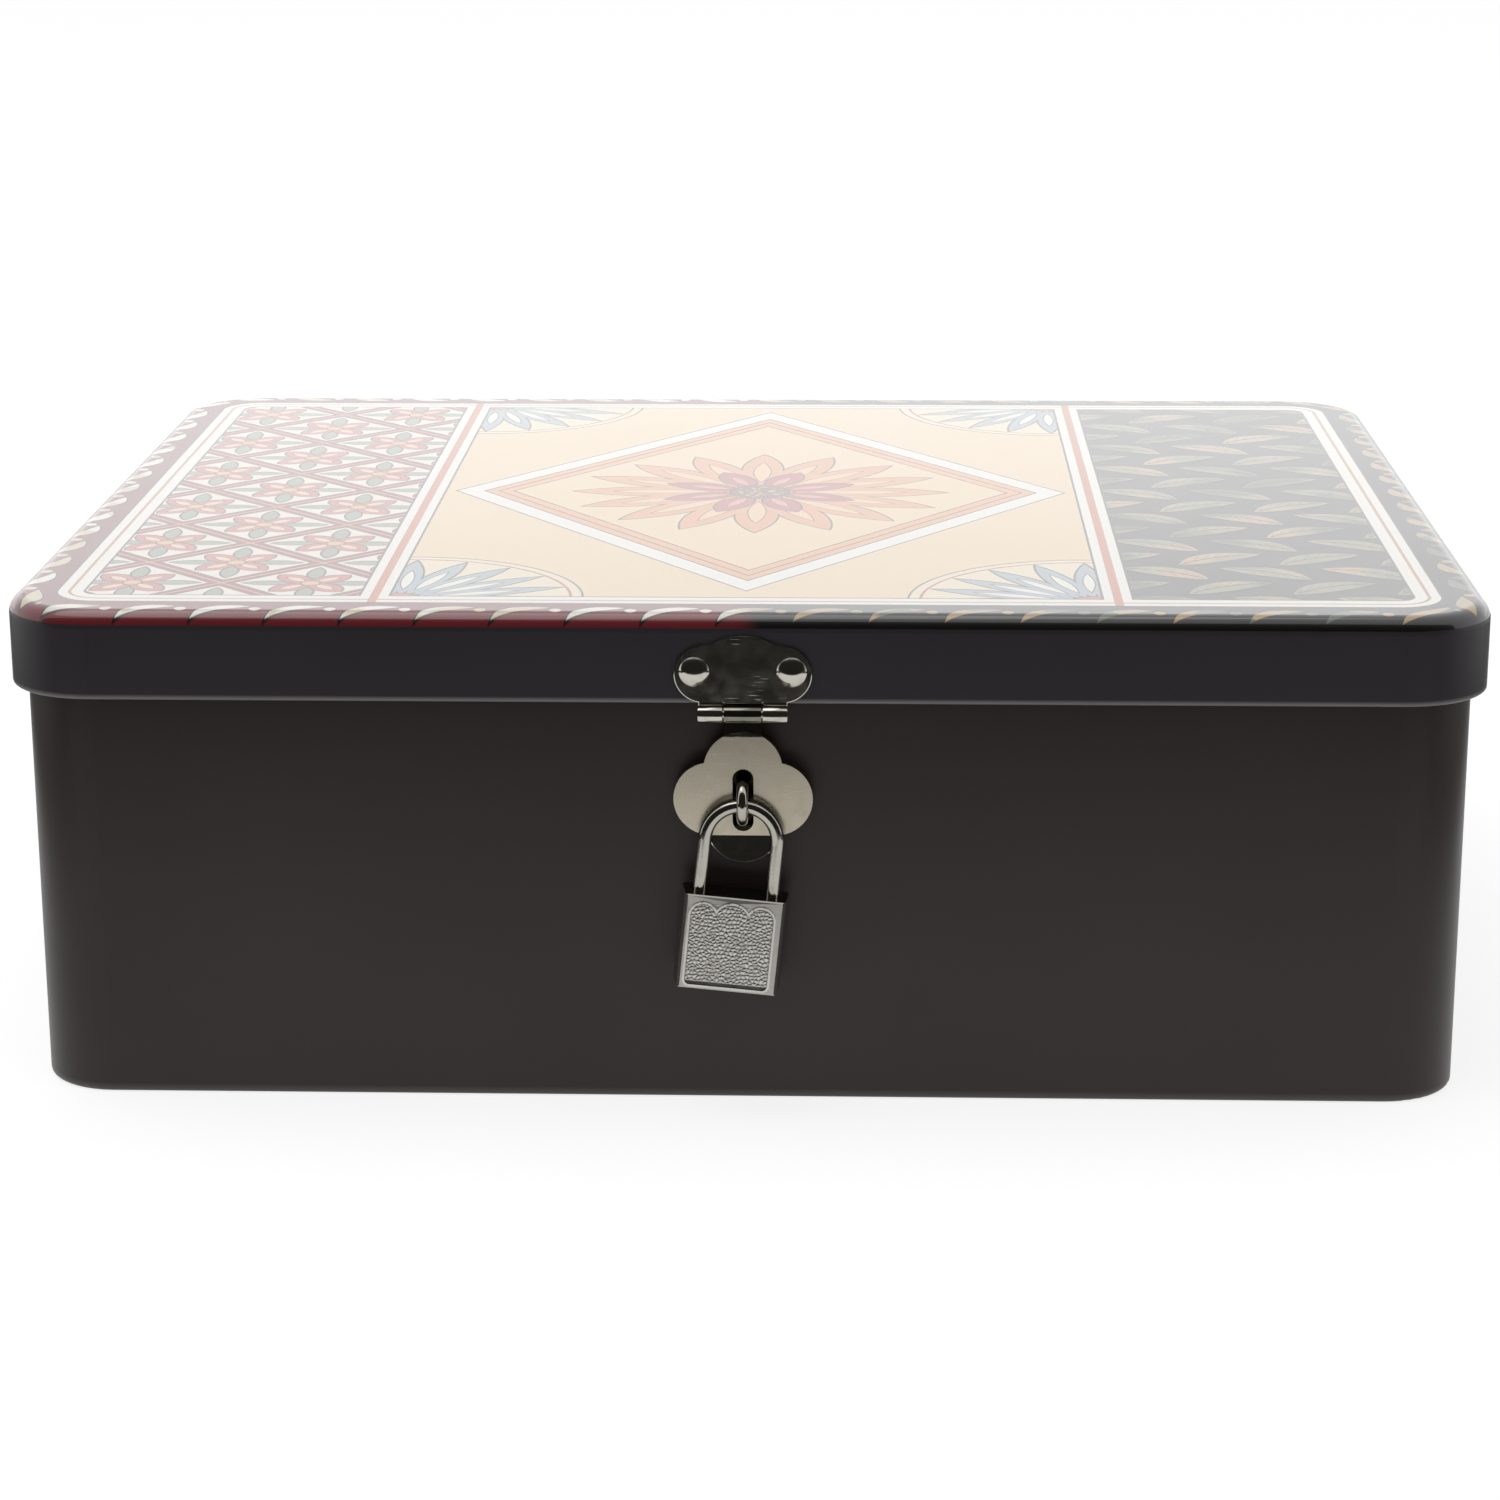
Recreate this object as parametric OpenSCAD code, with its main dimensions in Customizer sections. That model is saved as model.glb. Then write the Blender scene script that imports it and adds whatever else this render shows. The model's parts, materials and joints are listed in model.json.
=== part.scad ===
// Deed box of painted tinplate with a hinged lid, a hasp and a small padlock.
// Millimetres, +Z up, +X to the right of someone who faces the hasp, -Y towards them.
// The origin is on the floor, under the middle of the whole object's length and depth.

/* [Box] */
// Width of the lid, left to right
lid_w = 300; // [260:1:340]
// Depth of the lid, front to back, without the fittings
lid_d = 236; // [200:1:280]
// Height of the closed box
box_h = 103; // [95:1:130]
// Height of the lid's skirt
skirt_h = 18; // [17.5:0.5:20]
// Radius of the lid's corners, seen from above
lid_r = 19; // [15:0.5:26]
// Radius of the bend between the lid's top and its skirt
lid_edge_r = 3.5; // [3:0.1:4.5]
// How far the lid's skirt stands out past the base wall
overhang = 3.15; // [3.1:0.05:3.6]

/* [Sheet] */
// Thickness of the tinplate
tin = 0.4; // [0.3:0.05:0.45]
// Thickness of the skirt's folded hem
hem_t = 1.1; // [0.9:0.05:1.2]
// Height of the skirt's folded hem
hem_h = 3.5; // [3:0.1:5]
// Outer radius of the inward curl round the rim of the base
curl_r = 1.3; // [1.1:0.1:1.5]
// Gap between the rim of the base and the closed lid
lid_gap = 0.4; // [0.3:0.05:0.6]
// Radius of the bend under the base wall
foot_r = 1.2; // [1:0.1:1.5]
// Width of the flange that the box stands on
foot_w = 5; // [4:0.5:8]
// Height of the upturned edge of the bottom panel
bottom_lip_h = 6; // [4:0.5:8]

/* [Fittings] */
// Thickness of the hasp's and the hinges' plates
plate_t = 0.8; // [0.7:0.05:0.9]
// Thickness of the sheet of the flap and of the hinges' lower leaves
leaf_t = 0.7; // [0.6:0.05:0.75]
// Outer radius of a hinge knuckle
knuckle_r = 1.75; // [1.7:0.05:1.8]
// Radius of a hinge pin
pin_r = 0.9; // [0.8:0.05:0.9]
// Height of the hinge pins' centres below the hem
pin_drop = 1.7; // [1.6:0.05:1.9]
// Radius of a rivet's domed head
rivet_head_r = 3; // [2.8:0.1:3.1]
// Height of a rivet's domed head
rivet_head_h = 1.2; // [1:0.05:1.2]
// Distance of each rear hinge from the middle of the box
hinge_x = 80; // [60:1:100]
// Thickness of the staple's wire
staple_wire = 2.3; // [2.2:0.05:2.3]
// How far the staple stands out from the base wall
staple_reach = 11; // [11:0.1:11.4]

/* [Padlock] */
// Thickness of the shackle's wire
shackle_wire = 2.8; // [2.7:0.05:2.8]
// Distance between the centres of the shackle's legs
shackle_w = 14.6; // [14.4:0.1:14.8]
// Width of the case at its back
case_w = 21.6; // [21.4:0.1:22]
// Height of the case
case_h = 19.6; // [19.4:0.1:20]
// Thickness of the case
case_t = 8.6; // [8.4:0.1:9]
// Turn of the hanging padlock to its left, in degrees
padlock_yaw = 1.5; // [0:0.5:4]
// Lean of the hanging padlock to its left, in degrees
padlock_roll = 5.8; // [0:0.1:6]
// Lean of the hanging padlock away from the box, in degrees
padlock_pitch = 2; // [0:0.5:3]
// How far the case drops when the shackle is let go
unlock_travel = 5; // [4.8:0.1:5]

/* [Hidden] */
$fn = 72;

// How far a cutting shape runs past what it cuts, how far fused shapes run into each other,
// and how far a neck runs up its plate
past = 1;
weld = 0.1;
lap = 1;

// Colours as the photograph shows them
print_red = "#7d2a30";
tin_black = "#353132";
nickel = "#b9b7b2";
zinc = "#9c9c9a";
spring_steel = "#8d8f92";

// The box
base_w = lid_w - 2 * overhang;
base_d = lid_d - 2 * overhang;
base_r = lid_r - overhang;
hem_z = box_h - skirt_h;
rim_z = box_h - tin - lid_gap;
// Play between the bottom panel's lip and the wall round it
lip_gap = 0.05;
bottom_bend_r = 1.2;
// The wall's lock seam, inside at the back
seam_w = 7;
seam_t = 0.6;
seam_x = 30;
seam_bottom_z = foot_r + bottom_lip_h + 1;
seam_top_z = rim_z - 2 * curl_r - 0.5;

// Distances of the fittings' planes from the middle of the box
skirt_y = lid_d / 2;
wall_y = base_d / 2;
pin_y = skirt_y + knuckle_r;
pin_z = hem_z - pin_drop;

// A hinge knuckle's bore, the knuckles' ends, and the neck between them
pin_play = 0.05;
bore_r = pin_r + pin_play;
knuckle_end = 8.95;
knuckle_start = 3.95;
neck_half_w = 3.75;

// The lobed plate, measured from the middle of its straight edge
plate_lobe_x = 7.9;
plate_lobe_r = 5.9;
plate_arc_r = 13.4;
plate_top_h = 13.8;
plate_edge_gap = 0.3;
rivet_x = 9.7;
rivet_up = 6.4;
rivet_r = 1.5;
rivet_play = 0.05;
upset_r = 2.4;
upset_h = 0.6;

// The hinges' lower leaves, measured down from the pin
leaf_joggle_top = 3;
leaf_joggle_end = 7;
leaf_plate_top = 7.6;
leaf_joggle_shift = 0.3;

// The flap, with heights above the floor measured down from the hem
flap_stand = 1.3;
flap_front_y = skirt_y + flap_stand;
flap_rim_t = 0.7;
flap_rim_depth = 2.3;
// The turned-back rim ends here on each side, so the flap's foot is flat where the shackle hangs
flap_rim_end_z = hem_z - 22.5;
flap_top_r = 7.9;
flap_top_z = hem_z - 13.3;
flap_lobe_x = 6.35;
flap_lobe_r = 7.6;
flap_lobe_z = hem_z - 19.4;
slot_w = 4.2;
slot_top_z = hem_z - 13.2;
slot_bottom_z = hem_z - 26.1;
neck_bend_top = hem_z - 3.2;
neck_bend_end = hem_z - 6.4;

// The staple and its plate
staple_plate_t = 0.8;
staple_plate_lobe_x = 6.4;
staple_plate_lobe_r = 6.2;
staple_plate_lobe_z = hem_z - 19.2;
staple_plate_low_r = 7.5;
staple_plate_low_z = hem_z - 26.5;
staple_rivet_x = 8.9;
staple_rivet_head_r = 2.4;
staple_rivet_head_h = 1;
staple_low_z = hem_z - 23.1;
staple_high_z = hem_z - 15.95;
staple_bow_r = (staple_high_z - staple_low_z) / 2;
staple_bow_z = (staple_high_z + staple_low_z) / 2;
staple_bow_y = wall_y + staple_reach - staple_wire / 2 - staple_bow_r;
staple_hole_play = 0.05;
staple_end_r = 1.9;
staple_end_h = 0.7;

// The padlock's own frame has its origin at the top of the shackle's bend, in the wire's middle,
// which hangs a little to the right, forwards of the staple's bow and below its middle
shackle_x = 0.4;
shackle_forward = 0.35;
shackle_drop = 0.75;
shackle_y = staple_bow_y + shackle_forward;
shackle_z = staple_bow_z - shackle_drop;
shackle_r = shackle_wire / 2;
leg_x = shackle_w / 2;
leg_play = 0.1;
case_top = -18;
case_bottom = case_top - case_h;
case_face_half = 9.5;
case_bevel = 0.9;
case_bottom_bevel = 0.45;
case_top_bevel = 0.25;
case_front_half = 10.1;
case_wall = 1.2;
case_top_wall = 1.4;
cavity_half_w = 9;
heel_bottom = case_top - 14.5;
toe_bottom = case_top - 4.7;

// The latch and the notch that it holds in the shackle's short leg
latch_grip = 0.5;
latch_top = case_top - 1.5;
latch_t = 1;
latch_half_w = 1.6;
latch_tip_x = leg_x - shackle_r + latch_grip;
latch_tail_l = 1.25;
latch_tail_r = 2.45;
latch_tail_bottom = case_top - 10;
latch_tail_y0 = 0.4;
latch_tail_y1 = 2.4;
notch_play_up = 0.2;
notch_play_down = 1.2;
notch_play_in = 0.3;

// The plug that the key turns, and the crank pin that pulls the latch
plug_x = 2;
plug_r = 2.6;
plug_play = 0.05;
plug_top = case_top - 11.2;
crank_r = 1.7;
crank_pin_r = 0.6;
crank_angle = 45;
crank_top = case_top - 9.2;
keyway_w = 0.9;
keyway_l = 3.4;
keyway_depth = 6;

// The pin that keeps the shackle in the case
retain_r = 0.45;
retain_inset = 0.05;
retain_x = -leg_x + shackle_r - retain_inset;
retain_z = case_top - 8;
retain_half_l = 3.6;
retain_notch_depth = 0.6;
retain_play = 0.15;
retain_hole_play = 0.05;

// The latch's spring and the post behind it
spring_wire_r = 0.15;
latch_spring_r = 0.8;
latch_spring_z = latch_top - 2.6;
post_x0 = -5.6;
post_x1 = -4.6;
post_half_h = 1.2;
latch_spring_turns = 7;

// The heel spring under the shackle's long leg
heel_wire_r = 0.2;
heel_spring_r = 1.1;
heel_spring_turns = 5;

// Steps in one turn of a coil, and sides of its wire
coil_steps = 10;
coil_sides = 6;

// Rivets of the case, each [x, z]
case_rivet_r = 0.9;
case_rivet_play = 0.05;
case_boss_r = 1.7;
case_rivet_tip = 0.9;
case_rivet_left = [-4, case_bottom + 3.4];
case_rivet_right = [7.2, case_bottom + 3.4];
case_rivet_upper = [7.2, case_top - 7.6];

// The raised line round the panel on the front of the case
panel_x = -0.3;
panel_half_w = 8.8;
panel_top_margin = 1;
panel_low_margin = 0.5;
panel_line_w = 0.45;
panel_line_h = 0.25;
panel_corner_r = 1.5;
panel_side_r = 3;
panel_side_x = 5.8;
panel_mid_r = 3.9;
panel_side_drop = 0.25;

// How far a step along the hanging padlock's own x, y or z brings a point back
back_x = cos(padlock_pitch) * sin(padlock_yaw) - sin(padlock_pitch) * sin(padlock_roll) * cos(padlock_yaw);
back_y = cos(padlock_pitch) * cos(padlock_yaw) + sin(padlock_pitch) * sin(padlock_roll) * sin(padlock_yaw);
back_z = sin(padlock_pitch) * cos(padlock_roll);

// The whole model moves along Y so that the origin is under the middle of its depth. A lower
// corner of the line round the padlock's panel is the foremost point.
panel_corner_x = panel_half_w - panel_corner_r;
panel_corner_z = case_bottom + panel_low_margin + panel_corner_r;
front_reach = shackle_y - min([for (s = [-1, 1]) back_x * (panel_x + s * panel_corner_x)])
    + back_y * (case_t / 2 + panel_line_h) - back_z * panel_corner_z
    + panel_corner_r * norm([back_x, back_z]);
rear_reach = pin_y + knuckle_r;
depth_shift = (front_reach - rear_reach) / 2;

// Moves a piece of the box into the model's frame
module placed() {
    translate([0, depth_shift, 0]) children();
}

// Turns a fitting that is drawn on the front round to the back, with x to the left or right
module at_back(x) {
    translate([x, 0, 0]) rotate([0, 0, 180]) children();
}

// Carries the padlock's own frame to where it hangs
module hanging() {
    placed() translate([shackle_x, -shackle_y, shackle_z])
        rotate([-padlock_pitch, 0, 0]) rotate([0, padlock_roll, 0]) rotate([0, 0, padlock_yaw])
            children();
}

// Stands a flat shape, drawn with x and z, upright: its front face at -y0, t thick, reaching back
module upright(y0, t) {
    translate([0, -y0 + t, 0]) rotate([90, 0, 0]) linear_extrude(t) children();
}

// A round bar along Y from y0 to y1
module bar_y(x, z, r, y0, y1) {
    translate([x, y1, z]) rotate([90, 0, 0]) cylinder(r = r, h = y1 - y0);
}

// A round bar along X
module bar_x(y, z, r, x0, x1) {
    translate([x0, y, z]) rotate([0, 90, 0]) cylinder(r = r, h = x1 - x0);
}

// A rectangle with round corners
module round_rect(w, d, r) {
    square([w - 2 * r, d], center = true);
    square([w, d - 2 * r], center = true);
    for (sx = [-1, 1], sy = [-1, 1])
        translate([sx * (w / 2 - r), sy * (d / 2 - r)]) circle(r);
}

// Runs an outline, drawn with x outwards from the outer face and y up, round a rounded rectangle
module around(w, d, r) {
    corners = [[1, 1, 0], [-1, 1, 90], [-1, -1, 180], [1, -1, 270]];
    for (c = corners)
        translate([c[0] * (w / 2 - r), c[1] * (d / 2 - r), 0]) rotate([0, 0, c[2]])
            rotate_extrude(angle = 90) translate([r, 0]) children();
    for (turn = [0, 180]) {
        rotate([0, 0, turn]) translate([w / 2, 0, 0]) rotate([90, 0, 0])
            linear_extrude(d - 2 * r, center = true) children();
        rotate([0, 0, turn + 90]) translate([d / 2, 0, 0]) rotate([90, 0, 0])
            linear_extrude(w - 2 * r, center = true) children();
    }
}

// Section of the base: foot, wall and inward curl
module wall_section() {
    translate([-foot_w, 0]) square([foot_w - foot_r, tin]);
    translate([-foot_r, foot_r]) difference() {
        intersection() {
            circle(foot_r);
            translate([0, -foot_r]) square(foot_r);
        }
        circle(foot_r - tin);
    }
    translate([-tin, foot_r]) square([tin, rim_z - curl_r - foot_r]);
    translate([-curl_r, rim_z - curl_r]) difference() {
        circle(curl_r);
        circle(curl_r - tin);
        translate([0, -curl_r - past]) square(curl_r + past);
    }
}

// Section of the bottom panel's edge: the lip, its bend and a strip of the flat
module bottom_section() {
    inset = tin + lip_gap;
    translate([-inset - tin, tin + bottom_bend_r]) square([tin, bottom_lip_h - bottom_bend_r]);
    translate([-inset - bottom_bend_r, tin + bottom_bend_r]) difference() {
        intersection() {
            circle(bottom_bend_r);
            translate([0, -bottom_bend_r]) square(bottom_bend_r);
        }
        circle(bottom_bend_r - tin);
    }
}

// Section of the lid's rounded edge, skirt and folded hem
module lid_section() {
    translate([-lid_edge_r, box_h - lid_edge_r]) difference() {
        intersection() {
            circle(lid_edge_r);
            square(lid_edge_r);
        }
        circle(lid_edge_r - tin);
    }
    translate([-tin, hem_z + hem_h]) square([tin, box_h - lid_edge_r - hem_z - hem_h]);
    translate([-hem_t, hem_z + hem_t / 2]) square([hem_t, hem_h - hem_t / 2]);
    translate([-hem_t / 2, hem_z + hem_t / 2]) circle(hem_t / 2);
}

// Holes for the two rivets of a front fitting
module rivet_holes(x, z) {
    for (s = [-1, 1])
        bar_y(s * x, z, rivet_r + rivet_play, -skirt_y - plate_t - past, -wall_y + tin + past);
}

// Holes for the staple's two ends
module staple_holes() {
    r = staple_wire / 2 + staple_hole_play;
    for (z = [staple_low_z, staple_high_z])
        bar_y(0, z, r, -wall_y - staple_plate_t - past, -wall_y + tin + past);
}

// Heights of the rivets in an upper plate and in a hinge's lower leaf
upper_rivet_z = hem_z + plate_edge_gap + rivet_up;
lower_rivet_z = pin_z - leaf_plate_top - rivet_up;

module base_wall() {
    color(tin_black) placed() difference() {
        union() {
            around(base_w, base_d, base_r) wall_section();
            translate([seam_x, wall_y - tin - seam_t, seam_bottom_z])
                cube([seam_w, seam_t + weld, seam_top_z - seam_bottom_z]);
        }
        rivet_holes(staple_rivet_x, staple_plate_lobe_z);
        staple_holes();
        for (s = [-1, 1])
            at_back(s * hinge_x) rivet_holes(rivet_x, lower_rivet_z);
    }
}

module base_bottom() {
    inset = tin + lip_gap;
    flat = inset + bottom_bend_r;
    color(tin_black) placed() {
        around(base_w, base_d, base_r) bottom_section();
        translate([0, 0, tin]) linear_extrude(tin)
            round_rect(base_w - 2 * flat, base_d - 2 * flat, base_r - flat);
    }
}

module lid_shell() {
    color(print_red) placed() difference() {
        union() {
            around(lid_w, lid_d, lid_r) lid_section();
            translate([0, 0, box_h - tin]) linear_extrude(tin)
                round_rect(lid_w - 2 * lid_edge_r, lid_d - 2 * lid_edge_r, lid_r - lid_edge_r);
        }
        rivet_holes(rivet_x, upper_rivet_z);
        for (s = [-1, 1])
            at_back(s * hinge_x) rivet_holes(rivet_x, upper_rivet_z);
    }
}

// The lobed outline, its straight edge on y = 0 and its lobes above
module lobed_outline() {
    translate([-plate_lobe_x, 0]) square([2 * plate_lobe_x, 2 * plate_lobe_r]);
    for (s = [-1, 1])
        translate([s * plate_lobe_x, plate_lobe_r]) circle(plate_lobe_r);
    intersection() {
        translate([0, plate_top_h - plate_arc_r]) circle(plate_arc_r);
        translate([-plate_lobe_x, plate_lobe_r]) square([2 * plate_lobe_x, plate_top_h]);
    }
}

// A knuckle rolled forwards round the pin, from x0 to x1
module knuckle(x0, x1) {
    difference() {
        bar_x(-pin_y, pin_z, knuckle_r, x0, x1);
        bar_x(-pin_y, pin_z, bore_r, x0 - past, x1 + past);
    }
}

// A lobed plate with two knuckles under its straight edge, as drawn on the front skirt
module knuckled_plate() {
    edge_z = hem_z + plate_edge_gap;
    difference() {
        union() {
            upright(skirt_y + plate_t, plate_t) translate([0, edge_z]) lobed_outline();
            for (x0 = [-knuckle_end, knuckle_start])
                translate([x0, -skirt_y - plate_t, pin_z])
                    cube([knuckle_end - knuckle_start, plate_t, edge_z - pin_z + lap]);
        }
        rivet_holes(rivet_x, upper_rivet_z);
        bar_x(-pin_y, pin_z, bore_r, -knuckle_end - past, knuckle_end + past);
    }
    knuckle(-knuckle_end, -knuckle_start);
    knuckle(knuckle_start, knuckle_end);
}

// A lower leaf: middle knuckle, joggled neck, and a lobed plate on the base wall
module lower_leaf() {
    top_z = pin_z - leaf_plate_top;
    neck = [
        [-skirt_y, pin_z],
        [-skirt_y, pin_z - leaf_joggle_top],
        [-wall_y, pin_z - leaf_joggle_end],
        [-wall_y, top_z - lap],
        [-wall_y - leaf_t, top_z - lap],
        [-wall_y - leaf_t, pin_z - leaf_joggle_end - leaf_joggle_shift],
        [-skirt_y - leaf_t, pin_z - leaf_joggle_top - leaf_joggle_shift],
        [-skirt_y - leaf_t, pin_z]
    ];
    difference() {
        union() {
            upright(wall_y + leaf_t, leaf_t) translate([0, top_z]) mirror([0, 1]) lobed_outline();
            translate([-neck_half_w, 0, 0]) rotate([90, 0, 90]) linear_extrude(2 * neck_half_w)
                polygon(neck);
        }
        rivet_holes(rivet_x, lower_rivet_z);
        bar_x(-pin_y, pin_z, bore_r, -knuckle_end, knuckle_end);
    }
    knuckle(-neck_half_w, neck_half_w);
}

// A rivet through a plate that stands on the face y0 of a sheet: domed head, shank, inner upset
module rivet(x, z, y0, t, head_r, head_h) {
    dome_r = (head_r * head_r + head_h * head_h) / (2 * head_h);
    outer_y = -y0 - t;
    inner_y = -y0 + tin;
    intersection() {
        translate([x, outer_y + dome_r - head_h, z]) sphere(dome_r);
        bar_y(x, z, head_r, outer_y - head_h - past, outer_y);
    }
    bar_y(x, z, rivet_r, outer_y - weld, inner_y + weld);
    bar_y(x, z, upset_r, inner_y, inner_y + upset_h);
}

module hinge_pin() {
    bar_x(-pin_y, pin_z, pin_r, -knuckle_end, knuckle_end);
}

module hasp_plate() {
    color(nickel) placed() knuckled_plate();
}

module hasp_rivet_left() {
    color(nickel) placed() rivet(-rivet_x, upper_rivet_z, skirt_y, plate_t, rivet_head_r, rivet_head_h);
}

module hasp_rivet_right() {
    color(nickel) placed() rivet(rivet_x, upper_rivet_z, skirt_y, plate_t, rivet_head_r, rivet_head_h);
}

module hasp_pin() {
    color(nickel) placed() hinge_pin();
}

// Outline of the flap, or the same drawn in by inset
module flap_outline(inset) {
    translate([0, flap_top_z]) circle(flap_top_r - inset);
    for (s = [-1, 1])
        translate([s * flap_lobe_x, flap_lobe_z]) circle(flap_lobe_r - inset);
    translate([-flap_lobe_x, flap_lobe_z - flap_lobe_r + inset])
        square([2 * flap_lobe_x, flap_lobe_r - inset]);
}

module hasp_flap() {
    back_y = flap_front_y - leaf_t;
    neck = [
        [-skirt_y, pin_z],
        [-skirt_y, neck_bend_top],
        [-back_y, neck_bend_end],
        [-back_y, neck_bend_end - lap],
        [-flap_front_y, neck_bend_end - lap],
        [-flap_front_y, neck_bend_end],
        [-skirt_y - leaf_t, neck_bend_top],
        [-skirt_y - leaf_t, pin_z]
    ];
    color(nickel) placed() {
        difference() {
            union() {
                upright(flap_front_y, leaf_t) flap_outline(0);
                upright(back_y + weld, flap_rim_depth + weld) difference() {
                    flap_outline(0);
                    flap_outline(flap_rim_t);
                    translate([-lid_w / 2, 0]) square([lid_w, flap_rim_end_z]);
                }
                translate([-neck_half_w, 0, 0]) rotate([90, 0, 90])
                    linear_extrude(2 * neck_half_w) polygon(neck);
            }
            upright(flap_front_y + past, leaf_t + 2 * past) {
                for (z = [slot_bottom_z + slot_w / 2, slot_top_z - slot_w / 2])
                    translate([0, z]) circle(slot_w / 2);
                translate([-slot_w / 2, slot_bottom_z + slot_w / 2])
                    square([slot_w, slot_top_z - slot_bottom_z - slot_w]);
            }
            bar_x(-pin_y, pin_z, bore_r, -knuckle_end, knuckle_end);
        }
        knuckle(-neck_half_w, neck_half_w);
    }
}

module staple_plate() {
    color(nickel) placed() difference() {
        upright(wall_y + staple_plate_t, staple_plate_t) {
            for (s = [-1, 1])
                translate([s * staple_plate_lobe_x, staple_plate_lobe_z]) circle(staple_plate_lobe_r);
            translate([0, staple_plate_low_z]) circle(staple_plate_low_r);
            translate([-staple_plate_lobe_x, staple_plate_low_z]) square([
                2 * staple_plate_lobe_x,
                staple_plate_lobe_z + staple_plate_lobe_r - staple_plate_low_z
            ]);
        }
        rivet_holes(staple_rivet_x, staple_plate_lobe_z);
        staple_holes();
    }
}

module staple() {
    r = staple_wire / 2;
    inner_y = -wall_y + tin;
    color(nickel) placed() {
        for (z = [staple_low_z, staple_high_z]) {
            bar_y(0, z, r, -staple_bow_y, inner_y + weld);
            bar_y(0, z, staple_end_r, inner_y, inner_y + staple_end_h);
        }
        translate([0, -staple_bow_y, staple_bow_z]) rotate([90, 0, -90])
            rotate([0, 0, -90]) rotate_extrude(angle = 180) translate([staple_bow_r, 0]) circle(r);
    }
}

module staple_rivet(s) {
    color(nickel) placed() rivet(s * staple_rivet_x, staple_plate_lobe_z, wall_y, staple_plate_t,
        staple_rivet_head_r, staple_rivet_head_h);
}

module staple_rivet_left() { staple_rivet(-1); }

module staple_rivet_right() { staple_rivet(1); }

module hinge_lid_leaf(x) {
    color(nickel) placed() at_back(x) knuckled_plate();
}

module hinge_base_leaf(x) {
    color(nickel) placed() at_back(x) lower_leaf();
}

module hinge_rear_pin(x) {
    color(nickel) placed() at_back(x) hinge_pin();
}

// A rivet of a rear hinge at height z, on the face y0; s is 1 or -1 for its side of the hinge
module hinge_rivet(x, s, z, y0, t) {
    color(nickel) placed() at_back(x) rivet(s * rivet_x, z, y0, t, rivet_head_r, rivet_head_h);
}

// The shackle: two legs and a bend, with the latch's notch and the retaining pin's flat
module shackle() {
    color(nickel) hanging() difference() {
        union() {
            translate([-leg_x, 0, heel_bottom]) cylinder(r = shackle_r, h = -heel_bottom - leg_x);
            translate([leg_x, 0, toe_bottom]) cylinder(r = shackle_r, h = -toe_bottom - leg_x);
            translate([0, 0, -leg_x]) rotate([90, 0, 0])
                rotate_extrude(angle = 180) translate([leg_x, 0]) circle(shackle_r);
        }
        translate([leg_x - shackle_r - past, -shackle_r - past, latch_top - latch_t - notch_play_down])
            cube([
                latch_grip + notch_play_in + past,
                shackle_wire + 2 * past,
                latch_t + notch_play_up + notch_play_down
            ]);
        translate([
            -leg_x + shackle_r - retain_notch_depth,
            -shackle_r - past,
            retain_z - retain_r - retain_play - unlock_travel
        ])
            cube([
                retain_notch_depth + past,
                shackle_wire + 2 * past,
                unlock_travel + 2 * (retain_r + retain_play)
            ]);
    }
}

// Plan outline of the case: bevelled front edges, and sides that spread towards the back
function case_plan() = [
    [-case_face_half, -case_t / 2],
    [case_face_half, -case_t / 2],
    [case_front_half, -case_t / 2 + case_bevel],
    [case_w / 2, case_t / 2 - case_bevel],
    [case_w / 2 - case_bevel, case_t / 2],
    [-case_w / 2 + case_bevel, case_t / 2],
    [-case_w / 2, case_t / 2 - case_bevel],
    [-case_front_half, -case_t / 2 + case_bevel]
];

// Side outline of the case, drawn with y and z: its bottom and top edges are bevelled
function case_side() = [
    [-case_t / 2, case_bottom + case_bottom_bevel],
    [-case_t / 2 + case_bottom_bevel, case_bottom],
    [case_t / 2 - case_bottom_bevel, case_bottom],
    [case_t / 2, case_bottom + case_bottom_bevel],
    [case_t / 2, case_top - case_top_bevel],
    [case_t / 2 - case_top_bevel, case_top],
    [-case_t / 2 + case_top_bevel, case_top],
    [-case_t / 2, case_top - case_top_bevel]
];

// Both halves of the case as one, with every bore; side is -1 for the front half, 1 for the back
module case_half(side) {
    rivets = [case_rivet_left, case_rivet_right, case_rivet_upper];
    cavity_y = case_t / 2 - case_wall;
    difference() {
        union() {
            difference() {
                intersection() {
                    translate([0, 0, case_bottom]) linear_extrude(case_h) polygon(case_plan());
                    translate([-case_w, 0, 0]) rotate([90, 0, 90]) linear_extrude(2 * case_w)
                        polygon(case_side());
                }
                translate([-cavity_half_w, -cavity_y, case_bottom + case_top_wall])
                    cube([2 * cavity_half_w, 2 * cavity_y, case_h - 2 * case_top_wall]);
            }
            for (p = rivets)
                bar_y(p[0], p[1], case_boss_r, -cavity_y - weld, cavity_y + weld);
            translate([post_x0, -cavity_y - weld, latch_spring_z - post_half_h])
                cube([post_x1 - post_x0, 2 * (cavity_y + weld), 2 * post_half_h]);
        }
        for (s = [-1, 1])
            translate([s * leg_x, 0, case_top - case_top_wall - past])
                cylinder(r = shackle_r + leg_play, h = case_top_wall + 2 * past);
        translate([plug_x, 0, case_bottom - past])
            cylinder(r = plug_r + plug_play, h = case_top_wall + 2 * past);
        for (p = rivets)
            bar_y(p[0], p[1], case_rivet_r + case_rivet_play,
                -case_t / 2 + case_rivet_tip - case_rivet_play, case_t);
        bar_y(retain_x, retain_z, retain_r + retain_hole_play,
            -retain_half_l - retain_hole_play, retain_half_l + retain_hole_play);
        translate([-case_w, side > 0 ? -case_t : 0, case_bottom - past])
            cube([2 * case_w, case_t, case_h + 2 * past]);
    }
}

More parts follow.
